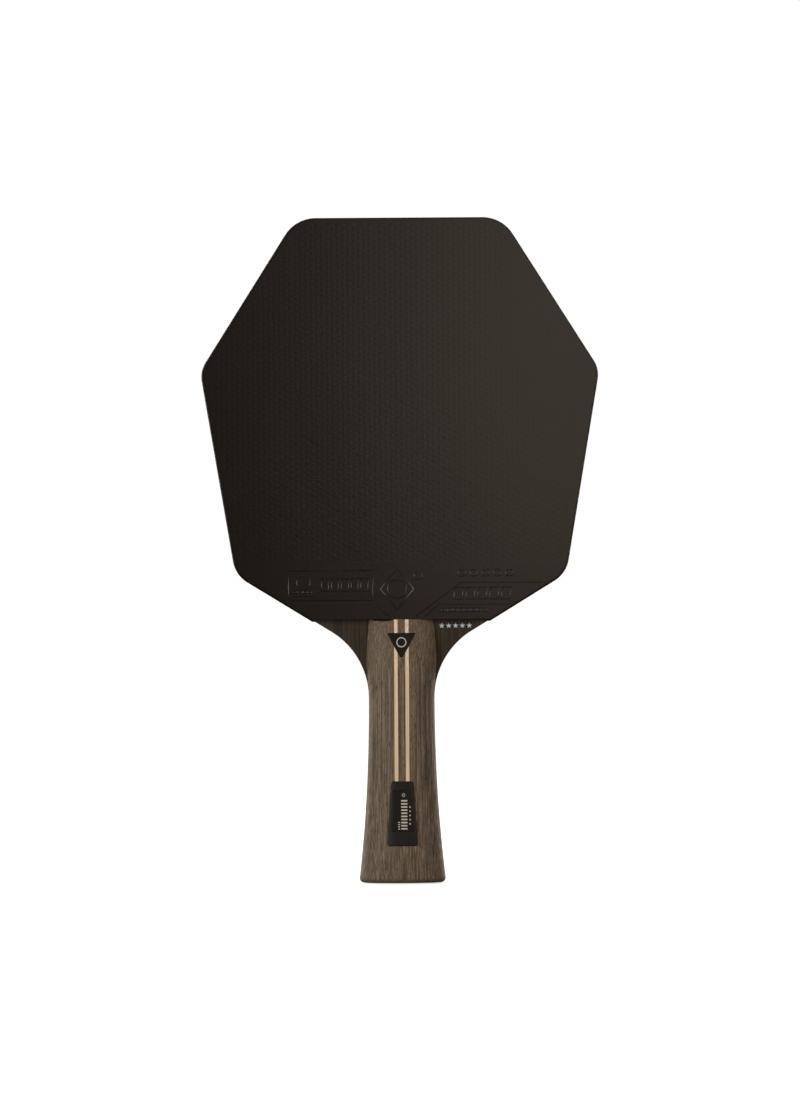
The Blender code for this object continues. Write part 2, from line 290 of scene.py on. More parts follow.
def head_corners(inset, bottom):
    """Corners of the head's outline moved inwards, and cut off level at the bottom height."""
    low_end = LOW_HALF_WIDTH - LOWER_SIDE_RUN * (LOW_HEIGHT - bottom + inset)
    right = [
        (low_end, bottom - inset),
        (LOW_HALF_WIDTH, LOW_HEIGHT),
        (SIDE_HALF_WIDTH, SIDE_HEIGHT),
        (TOP_HALF_WIDTH, LENGTH),
    ]
    return inset_corners(mirrored(right), inset)


def rough_head_outline(inset, bottom):
    radii = [0.0, LOW_RADIUS - inset, SIDE_RADIUS - inset, TOP_RADIUS - inset]
    return round_corners(head_corners(inset, bottom), radii + radii[::-1])


def head_outline(inset, bottom=RUBBER_BOTTOM):
    """The head's outline with as many points, and in the same order, at any inset."""
    outline = rough_head_outline(inset, bottom)
    longest = rough_head_outline(0.0, bottom)
    points = []
    for index, point in enumerate(outline):
        after = (index + 1) % len(outline)
        length = (Vector(longest[after]) - Vector(longest[index])).length
        count = max(1, round(length / OUTLINE_STEP))
        start, end = Vector(point), Vector(outline[after])
        points += [tuple(start.lerp(end, part / count)) for part in range(count)]
    return points


def blade_outline(depth, inset):
    """The outline of the blade at a distance from its middle plane."""
    total = BLADE_INSET + inset
    low, side, top = head_corners(total, RUBBER_BOTTOM)[1:4]
    tongue = []
    for height in TONGUE_HEIGHTS:
        bare = smooth_step((height - BARE_START) / (WAIST_HEIGHT - BARE_START))
        tongue.append((tongue_half_width(height, depth) - inset * bare, height))
    waist = tongue[-1][0]
    neck = (waist, low[1] - (low[0] - waist) / LOWER_SIDE_RUN)
    outline = list(tongue)
    outline += round_corner(tongue[-1], neck, low, NECK_RADIUS + inset)
    outline += round_corner(neck, low, side, LOW_RADIUS - total)
    outline += round_corner(low, side, top, SIDE_RADIUS - total)
    outline += round_corner(side, top, (-top[0], top[1]), TOP_RADIUS - total)
    return mirrored(outline)


# Handle form


def smooth_step(value):
    value = min(max(value, 0.0), 1.0)
    return value * value * (3 - 2 * value)


def spread(start, end, count):
    """Evenly spaced values from the start, which is one of them, up to the end, which isn't."""
    return [start + (end - start) * step / count for step in range(count)]


BARE_START = 60.0  # the blade's edges are rounded from this height upwards
BEYOND = 1.5 * WAIST_HALF_WIDTH  # farther out than any point of the handle
ROUNDED_HEIGHTS = [BUTT_RADIUS * (1 - cos(angle)) for angle in spread(0, pi / 2, 8)]
TONGUE_HEIGHTS = ROUNDED_HEIGHTS + spread(BUTT_RADIUS, WAIST_HEIGHT, 24) + [WAIST_HEIGHT]


def butt_inset(height):
    if height >= BUTT_RADIUS:
        return 0.0
    return BUTT_RADIUS - (BUTT_RADIUS**2 - (BUTT_RADIUS - height) ** 2) ** 0.5


def flare(height):
    return max(0.0, 1 - height / WAIST_HEIGHT) ** 2


def half_width(height):
    swell = NECK_SWELL * smooth_step((height - WAIST_HEIGHT) / (NECK_SWELL_HEIGHT - WAIST_HEIGHT))
    taper = NECK_TAPER * smooth_step((height - NECK_SWELL_HEIGHT) / (SCALE_TOP - NECK_SWELL_HEIGHT))
    return WAIST_HALF_WIDTH + BUTT_EXTRA_WIDTH * flare(height) + swell - taper - butt_inset(height)


def half_depth(height):
    ramp = max(0.0, (height - RAMP_START) / (SCALE_TOP - RAMP_START)) ** RAMP_POWER
    straight = WAIST_HALF_DEPTH + BUTT_EXTRA_DEPTH * flare(height)
    return straight - RAMP_DROP * ramp - butt_inset(height)


def tongue_half_width(height, depth):
    side = WAIST_HALF_WIDTH + BUTT_EXTRA_WIDTH * flare(height) - butt_inset(height)
    return side * (1 - (abs(depth) / half_depth(height)) ** OVAL_POWER) ** (1 / OVAL_POWER)


def scale_depth(x, height):
    """Distance of the handle's surface from the middle plane."""
    share = min(1.0, abs(x) / half_width(height))
    return half_depth(height) * (1 - share**OVAL_POWER) ** (1 / OVAL_POWER)


# Meshes


def clean(form):
    """Merge points that coincide, and drop faces without an area."""
    bmesh.ops.remove_doubles(form, verts=form.verts, dist=TINY)
    bmesh.ops.dissolve_degenerate(form, dist=TINY, edges=form.edges)


def finish_mesh(name, form, sharp=SHARP):
    clean(form)
    bmesh.ops.recalc_face_normals(form, faces=form.faces)
    mesh = bpy.data.meshes.new(name)
    form.to_mesh(mesh)
    form.free()
    mesh.shade_smooth()
    mesh.set_sharp_from_angle(angle=radians(sharp))
    return mesh


def add_rings(form, rings, closed=False, open_end=False):
    """Join rings of points by quads. The two ends are capped, or joined to each other."""
    made = [[form.verts.new(Vector(point) * MM) for point in ring] for ring in rings]
    pairs = list(zip(made, made[1:]))
    if closed:
        pairs.append((made[-1], made[0]))
    for first, second in pairs:
        for index in range(len(first)):
            following = (index + 1) % len(first)
            form.faces.new((first[index], first[following], second[following], second[index]))
    if not closed:
        form.faces.new(made[0])
    if not (closed or open_end):
        form.faces.new(made[-1])
    return made[-1]


def ring_solid(name, rings, closed=False):
    form = bmesh.new()
    add_rings(form, rings, closed)
    return finish_mesh(name, form)


def lift(outline, y):
    """Points of an outline at one y, or at the y that a function of x and z gives."""
    place = y if callable(y) else lambda x, z: y
    return [(x, place(x, z), z) for x, z in outline]


def add_piece(name, mesh, materials, slot, stands_for=()):
    piece = bpy.data.objects.new(name, mesh)
    bpy.context.scene.collection.objects.link(piece)
    mesh.materials.clear()
    for material in materials if isinstance(materials, list) else [materials]:
        mesh.materials.append(material)
    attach(piece, "root")
    if stands_for:
        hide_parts(*stands_for)
    return piece


# Node building


def add_node(tree, kind, inputs=None, **settings):
    made = tree.nodes.new(kind)
    for key, value in settings.items():
        setattr(made, key, value)
    for key, value in (inputs or {}).items():
        if isinstance(value, bpy.types.NodeSocket):
            tree.links.new(value, made.inputs[key])
        else:
            made.inputs[key].default_value = value
    return made


def new_material(name, roughness, specular=0.5):
    material = bpy.data.materials.new(name)
    material.use_nodes = True
    tree = material.node_tree
    shader = tree.nodes["Principled BSDF"]
    shader.inputs["Roughness"].default_value = roughness
    shader.inputs["Specular IOR Level"].default_value = specular
    place = add_node(tree, "ShaderNodeTexCoord").outputs["Object"]
    return material, tree, shader, place


def stretched_noise(tree, place, size, detail=2.0, roughness=0.5, shift=0.0):
    """Noise whose features have the given size in millimetres along x, y and z."""
    scale = tuple(1 / (MM * length) for length in size)
    mapped = add_node(
        tree,
        "ShaderNodeMapping",
        {"Vector": place, "Location": (shift, shift, shift), "Scale": scale},
    )
    return add_node(
        tree,
        "ShaderNodeTexNoise",
        {"Vector": mapped.outputs[0], "Scale": 1.0, "Detail": detail, "Roughness": roughness},
    ).outputs["Fac"]


def map_range(tree, value, low, high, first, last, course="LINEAR"):
    """From the first result to the last, while the value goes from low to high."""
    return add_node(
        tree,
        "ShaderNodeMapRange",
        {"Value": value, "From Min": low, "From Max": high, "To Min": first, "To Max": last},
        interpolation_type=course,
    ).outputs[0]


def ramp_between(tree, value, low, high):
    return map_range(tree, value, low, high, 0.0, 1.0, "SMOOTHSTEP")


def mix_colours(tree, amount, first, second):
    mixed = add_node(tree, "ShaderNodeMix", {"Factor": amount}, data_type="RGBA")
    for socket, colour in ((mixed.inputs[6], first), (mixed.inputs[7], second)):
        if isinstance(colour, bpy.types.NodeSocket):
            tree.links.new(colour, socket)
        else:
            socket.default_value = (*colour, 1.0)
    return mixed.outputs[2]


def calculate(tree, operation, first, second):
    return add_node(tree, "ShaderNodeMath", {0: first, 1: second}, operation=operation).outputs[0]


def add_bump(tree, shader, height, distance, strength=1.0):
    bump = add_node(
        tree,
        "ShaderNodeBump",
        {"Height": height, "Distance": distance * MM, "Strength": strength},
    )
    tree.links.new(bump.outputs[0], shader.inputs["Normal"])


# Materials


def veneer_material(name, ground, light, dark, calm=1.0):
    """Engineered wood: fine straight lines along z with short open pores.

    The lines get a little stronger to the right, and fade to a share, calm, on the handle's ramp.
    """
    material, tree, shader, place = new_material(name, 0.6, 0.2)
    parts = add_node(tree, "ShaderNodeSeparateXYZ", {0: place}).outputs
    across = map_range(tree, parts[0], -10 * MM, 10 * MM, 0.8, 1.0)
    along = map_range(tree, parts[2], RAMP_START * MM, 90 * MM, 1.0, calm)
    strength = calculate(tree, "MULTIPLY", across, along)

    def grain(size, shift, low, high, detail=1.0):
        return ramp_between(tree, stretched_noise(tree, place, size, detail, 0.5, shift), low, high)

    pale = grain((0.17, 0.45, 150), 0.0, 0.47, 0.59)
    lines = grain((0.18, 0.45, 110), 3.0, 0.53, 0.41)
    dashes = grain((0.14, 0.3, 2.6), 5.0, 0.48, 0.36)
    pores = grain((0.20, 0.20, 2.2), 7.0, 0.69, 0.75, 0.0)
    colour = mix_colours(tree, calculate(tree, "MULTIPLY", pale, strength), ground, light)
    lines = calculate(tree, "MULTIPLY", lines, strength)
    colour = mix_colours(tree, calculate(tree, "MULTIPLY", lines, 0.75), colour, dark)
    colour = mix_colours(tree, calculate(tree, "MULTIPLY", dashes, 0.45), colour, dark)
    colour = mix_colours(tree, calculate(tree, "MULTIPLY", pores, 0.9), colour, dark)
    tree.links.new(colour, shader.inputs["Base Color"])
    height = calculate(tree, "SUBTRACT", calculate(tree, "MULTIPLY", dashes, -0.3), pores)
    add_bump(tree, shader, height, 0.04, 0.5)
    return material


def pale_wood_material(name, ground, dark):
    material, tree, shader, place = new_material(name, 0.5, 0.35)
    streaks = stretched_noise(tree, place, (0.3, 0.3, 30))
    colour = mix_colours(tree, ramp_between(tree, streaks, 0.38, 0.68), ground, dark)
    tree.links.new(colour, shader.inputs["Base Color"])
    add_bump(tree, shader, streaks, 0.03, 0.4)
    return material


def carbon_material(name):
    material, tree, shader, place = new_material(name, 0.4)
    tows = stretched_noise(tree, place, (1.0, 0.2, 1.0), 1.0)
    share = ramp_between(tree, tows, 0.4, 0.6)
    colour = mix_colours(tree, share, (0.008, 0.008, 0.009), (0.03, 0.03, 0.032))
    tree.links.new(colour, shader.inputs["Base Color"])
    return material


def rubber_material(name, ground, cloud, roughness, specular):
    """Smooth topsheet with faint cloudy patches and a very fine grain."""
    material, tree, shader, place = new_material(name, roughness, specular)
    patches = ramp_between(tree, stretched_noise(tree, place, (22, 22, 34), 3.0, 0.6), 0.35, 0.68)
    grain = stretched_noise(tree, place, (0.35, 0.35, 0.35), 2.0, 0.6)
    tree.links.new(mix_colours(tree, patches, ground, cloud), shader.inputs["Base Color"])
    add_bump(tree, shader, grain, 0.004, 0.6)
    return material


def sponge_material(name, ground, dark):
    material, tree, shader, place = new_material(name, 0.9, 0.2)
    mapped = add_node(tree, "ShaderNodeMapping", {"Vector": place, "Scale": (1 / (0.3 * MM),) * 3})
    cells = add_node(tree, "ShaderNodeTexVoronoi", {"Vector": mapped.outputs[0], "Scale": 1.0})
    pores = ramp_between(tree, cells.outputs["Distance"], 0.45, 0.15)
    tree.links.new(mix_colours(tree, pores, ground, dark), shader.inputs["Base Color"])
    add_bump(tree, shader, calculate(tree, "MULTIPLY", pores, -1.0), 0.12, 0.8)
    return material


def tape_material(name):
    material, tree, shader, place = new_material(name, 0.85, 0.1)
    threads = stretched_noise(tree, place, (0.25, 0.25, 0.25))
    colour = mix_colours(tree, threads, (0.003, 0.003, 0.003), (0.012, 0.011, 0.010))
    tree.links.new(colour, shader.inputs["Base Color"])
    add_bump(tree, shader, threads, 0.03, 0.5)
    return material


def moulded_material(name, ground, roughness, specular):
    """Plastic with the fine texture of its mould."""
    material, tree, shader, place = new_material(name, roughness, specular)
    texture = stretched_noise(tree, place, (0.12, 0.12, 0.12))
    lighter = tuple(1.5 * channel for channel in ground)
    tree.links.new(mix_colours(tree, texture, ground, lighter), shader.inputs["Base Color"])
    add_bump(tree, shader, texture, 0.01, 0.5)
    return material


def print_material(name, ground):
    material, tree, shader, place = new_material(name, 0.35)
    wear = stretched_noise(tree, place, (0.4, 0.4, 0.4))
    darker = tuple(0.8 * channel for channel in ground)
    tree.links.new(mix_colours(tree, wear, ground, darker), shader.inputs["Base Color"])
    return material


# How each material is made: function, name and what the function takes
MATERIALS = [
    (
        veneer_material, "scale_veneer",
        (0.118, 0.086, 0.058), (0.262, 0.196, 0.132), (0.028, 0.019, 0.013), 0.55,
    ),
    (pale_wood_material, "inlay_wood", (0.72, 0.56, 0.40), (0.56, 0.41, 0.28)),
    (
        veneer_material, "blade_veneer",
        (0.031, 0.021, 0.013), (0.068, 0.048, 0.031), (0.007, 0.005, 0.003),
    ),
    (pale_wood_material, "core_wood", (0.62, 0.44, 0.26), (0.46, 0.31, 0.17)),
    (pale_wood_material, "inner_ply_wood", (0.66, 0.50, 0.31), (0.50, 0.36, 0.21)),
    (carbon_material, "carbon_weave"),
    (rubber_material, "black_rubber", (0.0030, 0.0016, 0.0005), (0.0042, 0.0024, 0.0010), 0.32, 0.31),
    (rubber_material, "black_rubber_cut", (0.0045, 0.0032, 0.0020), (0.0070, 0.0050, 0.0035), 0.8, 0.1),
    (rubber_material, "red_rubber", (0.40, 0.011, 0.013), (0.43, 0.013, 0.015), 0.4, 0.35),
    (rubber_material, "red_rubber_cut", (0.36, 0.010, 0.011), (0.42, 0.014, 0.015), 0.8, 0.2),
    (sponge_material, "black_sponge", (0.035, 0.034, 0.033), (0.004, 0.004, 0.004)),
    (tape_material, "tape"),
    (moulded_material, "badge_surround", (0.0050, 0.0036, 0.0024), 0.5, 0.3),
    (moulded_material, "badge_panel", (0.0036, 0.0026, 0.0018), 0.4, 0.3),
    (moulded_material, "emblem_plate", (0.0020, 0.0018, 0.0016), 0.45, 0.2),
    (print_material, "pale_print", (0.56, 0.53, 0.47)),
    (print_material, "silver_print", (0.50, 0.56, 0.60)),
]


# Blade


def ply_rings(node, inset_steps):
    """Rings from one face of a ply to the other; each step is (share of the way, inset)."""
    low, high = y_span(node)
    rings = []
    for share, inset in inset_steps:
        y = low + (high - low) * share
        rings.append(lift(blade_outline(abs(y), inset), y))
    return rings


def add_blade(pale, inner, carbon, veneer):
    flat = [(0.0, 0.0), (1.0, 0.0)]
    deep = [(share / 4, 0.0) for share in range(5)]
    mesh = ring_solid("core", ply_rings("blade_core", deep))
    add_piece("core", mesh, pale, "core_wood", ["blade_core"])
    for side in ("front", "back"):
        outwards = VENEER_ROUNDING
        if side == "front":
            outwards = [(1 - share, inset) for share, inset in VENEER_ROUNDING]
        plies = [
            ("inner_ply", flat, inner, "inner_ply_wood"),
            ("carbon_ply", flat, carbon, "carbon_weave"),
            ("outer_veneer", outwards, veneer, "blade_veneer"),
        ]
        for part, steps, material, slot in plies:
            node = f"{side}_{part}"
            mesh = ring_solid(node, ply_rings(node, steps))
            add_piece(f"{node}_finished", mesh, material, slot, [node])


# Rubbers


def lattice_places(sides, share, least, most):
    """Points of the pimples' lattice, or of one as many times finer, by their depth in an outline."""
    column = PIMPLE_COLUMN / share
    pitch = PIMPLE_PITCH / share
    columns = round(SIDE_HALF_WIDTH / column)
    steps, rows = np.meshgrid(np.arange(-columns, columns + 1), np.arange(round(LENGTH / pitch)))
    x = (steps * column).ravel()
    z = ((rows + 0.5 * (steps % 2)) * pitch).ravel()
    depth = np.full(len(x), np.inf)
    for start, inwards in sides:
        depth = np.minimum(depth, (x - start.x) * inwards.x + (z - start.y) * inwards.y)
    kept = (depth > least) & (depth < most)
    return list(zip(x[kept].tolist(), z[kept].tolist()))


def is_pimple(x, z):
    column = round(x / PIMPLE_COLUMN)
    row = z / PIMPLE_PITCH - 0.5 * (column % 2)
    return abs(x - column * PIMPLE_COLUMN) < ALIKE and abs(row - round(row)) < ALIKE


def fill_with_lattice(form, ring, outline, place):
    """Close a ring of vertices with a face that has points at all pimples, and points between them."""
    sides = outline_sides(outline)
    inner = lattice_places(sides, LATTICE_SHARE, LATTICE_MARGIN, np.inf)
    dips = set(lattice_places(sides, LATTICE_SHARE, DIMPLE_MARGIN, np.inf))
    points = [Vector(point) for point in outline + inner]
    count = len(outline)
    edges = [(index, (index + 1) % count) for index in range(count)]
    faces, origins = delaunay_2d_cdt(points, edges, [], 1, 1e-5)[2:4]
    corners = []
    for origin in origins:
        if origin[0] < count:
            corners.append(ring[origin[0]])
        else:
            x, z = inner[origin[0] - count]
            corners.append(form.verts.new(Vector((x, place(x, z, (x, z) in dips), z)) * MM))
    for face in faces:
        form.faces.new([corners[index] for index in face])


def outline_sides(outline):
    """Start point and inward direction of each side."""
    sides = []
    for index, point in enumerate(outline):
        start = Vector(point)
        along = (Vector(outline[(index + 1) % len(outline)]) - start).normalized()
        sides.append((start, Vector((-along.y, along.x))))
    return sides


def kept_inside(sides, x, z):
    """The point moved onto the outline where it lies outside."""
    point = Vector((x, z))
    for start, inwards in sides:
        depth = (point - start).dot(inwards)
        if depth < 0:
            point -= inwards * depth
    return tuple(point)


def dimpled_face(sign, start):
    """The playing face: slightly lower over each pimple from some height upwards."""

    def place(x, z, far_from_rim):
        if not (far_from_rim and is_pimple(x, z)):
            return sign * RUBBER_FACE
        return sign * (RUBBER_FACE - DIMPLE_DEPTH * smooth_step((z - start) / DIMPLE_FADE + 0.5))

    return place


def mark_sides(form):
    """Give the second material to the faces of the rim and of the pimples' sides."""
    form.normal_update()
    for face in form.faces:
        face.material_index = 0 if abs(face.normal.y) > SIDEWAYS else 1


def add_rubber(side, sign, sheet, sponge, sheet_slot):
    outline = head_outline(RUBBER_INSET)
    sponge_faces = sorted(abs(y) for y in y_span(f"{side}_sponge"))
    sheet_back = sponge_faces[1] + PIMPLE_HEIGHT
    rings = [lift(outline, sign * sheet_back)]
    for drop, inset in RIM_ROUNDING:
        rings.append(lift(head_outline(RUBBER_INSET + inset), sign * (RUBBER_FACE - drop)))
    form = bmesh.new()
    last = add_rings(form, rings, open_end=True)
    start = DIMPLE_START if side == "front" else 0.0
    inner = head_outline(RUBBER_INSET + RIM_ROUNDING[-1][1])
    fill_with_lattice(form, last, inner, dimpled_face(sign, start))
    middle = head_outline(RUBBER_INSET + PIMPLE_BAND)
    height = PIMPLE_HEIGHT + PIMPLE_OVERLAP
    add_rings(form, [lift(middle, sign * (sponge_faces[1] + share * height)) for share in (0, 1)])
    sides = outline_sides(outline)
    for x, z in lattice_places(sides, 1, 0.25 * PIMPLE_RADIUS, PIMPLE_BAND):
        pimple = []
        for share, widen in PIMPLE_SIDE:
            ring = circle(x, z, PIMPLE_RADIUS * widen, PIMPLE_SIDES)
            ring = [kept_inside(sides, *point) for point in ring]
            pimple.append(lift(ring, sign * (sponge_faces[1] + height * share)))
        add_rings(form, pimple)
    mark_sides(form)
    node = f"{side}_topsheet"
    add_piece(f"{node}_finished", finish_mesh(node, form), sheet, sheet_slot, [node])
    node = f"{side}_sponge"
    body = [lift(outline, sign * y) for y in sponge_faces]
    add_piece(f"{node}_finished", ring_solid(node, body), sponge, "black_sponge", [node])


# Relief moulded in the front topsheet: plain frames, bars and rings.


def add_tubes(name, lines, radius, y, material, slot):
    """Thin round rods along lines of (x, z) points, with their middle lines at one y."""
    curve = bpy.data.curves.new(name, "CURVE")
    curve.dimensions = "3D"
    curve.bevel_depth = radius * MM
    curve.bevel_resolution = 2
    curve.use_fill_caps = True
    for points, closed in lines:
        spline = curve.splines.new("POLY")
        spline.points.add(len(points) - 1)
        for knot, (x, z) in zip(spline.points, points):
            knot.co = (x * MM, y * MM, z * MM, 1.0)
        spline.use_cyclic_u = closed
    holder = bpy.data.objects.new(name, curve)
    bpy.context.scene.collection.objects.link(holder)
    bpy.context.view_layer.update()
    evaluated = holder.evaluated_get(bpy.context.evaluated_depsgraph_get())
    mesh = bpy.data.meshes.new_from_object(evaluated)
    bpy.data.objects.remove(holder)
    form = bmesh.new()
    form.from_mesh(mesh)
    bmesh.ops.remove_doubles(form, verts=form.verts, dist=TUBE_WELD)
    bpy.data.meshes.remove(mesh)
    return add_piece(name, finish_mesh(name, form, TUBE_SHARP), material, slot)


def block(low_x, high_x, low_z, high_z, lean=0.0):
    """A slanted four-sided outline."""
    return ([(low_x, low_z), (high_x, low_z), (high_x + lean, high_z), (low_x + lean, high_z)], True)


def block_row(first, width, pitch, low, high, count, lean=0.0):
    return [
        block(first + pitch * step, first + pitch * step + width, low, high, lean)
        for step in range(count)
    ]


def relief_lines():
    lines = [
        block(-43.4, -10.8, 109.2, 120.6),
        ([(-38.7, 107.6), (-10.5, 107.6), (-3.9, 102.7)], False),
        ([(5.4, 102.6), (23.1, 115.9), (54.5, 115.9)], False),
        ([(9.3, 102.9), (14.6, 107.5), (42.6, 107.5)], False),
        ([(-42.0, 110.9), (-32.8, 110.9)], False),
        ([(-1.5, 121.5), (-8.0, 113.5), (-1.5, 105.5), (5.0, 113.5)], True),
        (circle(-1.5, 113.5, 3.6, 40), True),
        (circle(-37.6, 116.0, 2.6, 32), True),
        (circle(6.6, 118.6, 1.5, 24), True),
    ]
    lines += block_row(-41.4, 1.3, 1.9, 112.0, 112.9, 4)
    lines += block_row(-30.6, 2.7, 3.8, 112.7, 117.6, 5)
    lines += block_row(20.3, 3.3, 4.6, 109.4, 114.0, 5, 0.6)
    lines += block_row(15.6, 1.4, 2.3, 104.6, 106.0, 8)
    for step in range(5):
        lines.append((circle(23.6 + 4.55 * step, 119.6, 1.35, 20), True))
    return lines


# Handle


def section_point(height, angle, sign):
    """A point of the handle's oval; angle 0 is at the right side and 90 degrees at the face."""
    reach = abs(cos(angle)) ** (2 / OVAL_POWER)
    x = half_width(height) * (reach if angle < pi / 2 else -reach)
    return (x, sign * half_depth(height) * sin(angle) ** (2 / OVAL_POWER), height)


def strip_section(height, low, high, sign, count):
    """The outer side of a strip between two values of x, and its back corners."""
    width = half_width(height)
    limit = asin((SCALE_BACK / half_depth(height)) ** (OVAL_POWER / 2))
    angles = []
    for x in (high, low):
        share = min(1.0, abs(x) / width) ** (OVAL_POWER / 2)
        angle = acos(share) if x > 0 else pi - acos(share)
        angles.append(min(max(angle, limit), pi - limit))
    steps = [angles[0] + (angles[1] - angles[0]) * step / count for step in range(count + 1)]
    points = [section_point(height, angle, sign) for angle in steps]
    left, right = points[-1], points[0]
    if abs(left[1]) > SCALE_BACK + ALIKE:
        points.append((left[0], sign * SCALE_BACK, height))
    if abs(right[1]) > SCALE_BACK + ALIKE:
        points.append((right[0], sign * SCALE_BACK, height))
    return points


def cutter_object(name, mesh):
    cutter = bpy.data.objects.new(name, mesh)
    bpy.context.scene.collection.objects.link(cutter)
    return cutter


def cut_and_apply(piece, cutters):
    """Cut pockets in a piece and make the result its mesh."""
    for cutter in cutters:
        cut = piece.modifiers.new("pocket", "BOOLEAN")
        cut.operation = "DIFFERENCE"
        cut.object = cutter
    bpy.context.view_layer.update()
    evaluated = piece.evaluated_get(bpy.context.evaluated_depsgraph_get())
    mesh = bpy.data.meshes.new_from_object(evaluated)
    piece.modifiers.clear()
    form = bmesh.new()
    form.from_mesh(mesh)
    clean(form)
    bmesh.ops.triangulate(form, faces=[face for face in form.faces if len(face.verts) > 4])
    bmesh.ops.dissolve_degenerate(form, dist=SLIVER, edges=form.edges)
    form.to_mesh(mesh)
    form.free()
    piece.data = mesh
    mesh.set_sharp_from_angle(angle=radians(SHARP))


def strip_table():
    """Name, slot, lowest x and highest x, and number of segments of each strip."""
    near = INLAY_MIDDLE - INLAY_WIDTH / 2
    far = INLAY_MIDDLE + INLAY_WIDTH / 2
    return [
        ("left_strip", "scale_veneer", -BEYOND, -far - STRIP_LINE, 28),
        ("left_inlay", "inlay_wood", -far, -near, 4),
        ("centre_strip", "scale_veneer", STRIP_LINE - near, near - STRIP_LINE, 8),
        ("right_inlay", "inlay_wood", near, far, 4),
        ("right_strip", "scale_veneer", far + STRIP_LINE, BEYOND, 28),
    ]


def top_gap(x):
    """The shallow hollow in the end of the left strip, under the rubber."""
    return TOP_GAP * max(0.0, 1 - ((x - TOP_GAP_MIDDLE) / TOP_GAP_HALF_WIDTH) ** 2) ** 0.5


def add_handle(materials, pockets):
    strip_heights = spread(BUTT_BLOCK_TOP + BLOCK_LINE, RAMP_START, 22)
    strip_heights += spread(RAMP_START, SCALE_TOP, 14) + [SCALE_TOP + STRIP_EXTRA]
    block_heights = ROUNDED_HEIGHTS + spread(BUTT_RADIUS, BUTT_BLOCK_TOP, 5) + [BUTT_BLOCK_TOP]
    table = [(*row, strip_heights) for row in strip_table()]
    table.append(("butt_block", "scale_veneer", -BEYOND, BEYOND, 60, block_heights))
    for side, sign in (("front", -1), ("back", 1)):
        for part, slot, low, high, count, heights in table:
            node = f"{side}_{part}"
            rings = [strip_section(height, low, high, sign, count) for height in heights]
            if part == "left_strip" and side == "front":
                rings[-1] = [(x, y, z - top_gap(x)) for x, y, z in rings[-1]]
            mesh = ring_solid(node, rings)
            piece = add_piece(f"{node}_finished", mesh, materials[slot], slot, [node])
            if side == "front":
                cut_and_apply(piece, pockets)


# Badge and emblem


def trapezoid(bottom, top, bottom_half, top_half):
    return mirrored([(bottom_half, bottom), (top_half, top)])


def on_scale(proud):
    """The front surface of the handle, raised by a height."""
    return lambda x, z: -scale_depth(x, z) - proud


def under_middle(depth):
    """The depth below the handle's middle line, which follows only the height."""
    return lambda x, z: depth - half_depth(z)


def between(first, second, share):
    return [tuple(Vector(a).lerp(Vector(b), share)) for a, b in zip(first, second)]


def badge_shapes():
    """Outlines of the badge and of the window in it."""
    outer = trapezoid(BADGE_BOTTOM, BADGE_TOP, BADGE_BOTTOM_HALF, BADGE_TOP_HALF)
    window = trapezoid(PLATE_BOTTOM, PLATE_TOP, PLATE_BOTTOM_HALF, PLATE_TOP_HALF)
    return round_corners(outer, [BADGE_RADIUS] * 4), round_corners(window, [PLATE_RADIUS] * 4)


def emblem_shape():
    corners = trapezoid(EMBLEM_TIP, EMBLEM_TOP, EMBLEM_TIP_HALF, EMBLEM_HALF_WIDTH)
    return round_corners(corners, [EMBLEM_RADIUS] * 4)


def split_alike(outlines, step):
    """Split the sides of outlines that have as many points, each into as many parts as the first."""
    split = [[] for outline in outlines]
    for index in range(len(outlines[0])):
        following = (index + 1) % len(outlines[0])
        ends = [(Vector(outline[index]), Vector(outline[following])) for outline in outlines]
        count = max(1, round((ends[0][1] - ends[0][0]).length / step))
        for part in range(count):
            for made, (start, end) in zip(split, ends):
                made.append(tuple(start.lerp(end, part / count)))
    return split


def draped_plate(name, outline, floor, proud, edge):
    """A solid whose face follows the handle's surface, with a rounded edge."""
    insets = (0.0, 0.3 * edge, edge, edge + 0.08)
    outlines = split_alike([inset_corners(outline, inset) for inset in insets], TRIM_STEP)
    middle = Vector((0.0, 0.0))
    for point in outlines[0]:
        middle += Vector(point) / len(outlines[0])
    centre = [tuple(middle)] * len(outlines[0])
    rings = [lift(outlines[0], floor)]
    for flat, drop in zip(outlines, (1.0, 0.3, 0.0, 0.0)):
        rings.append(lift(flat, on_scale(proud - edge * drop)))
    for share in (0.25, 0.5, 0.75, 0.97):
        rings.append(lift(between(outlines[-1], centre, share), on_scale(proud)))
    return ring_solid(name, rings)


def pocket(name, outline, floor):
    """A cutter from well in front of the handle down to a floor."""
    rings = [lift(outline, -2 * BADGE_FLOOR), lift(outline, floor)]
    return cutter_object(name, ring_solid(name, rings))


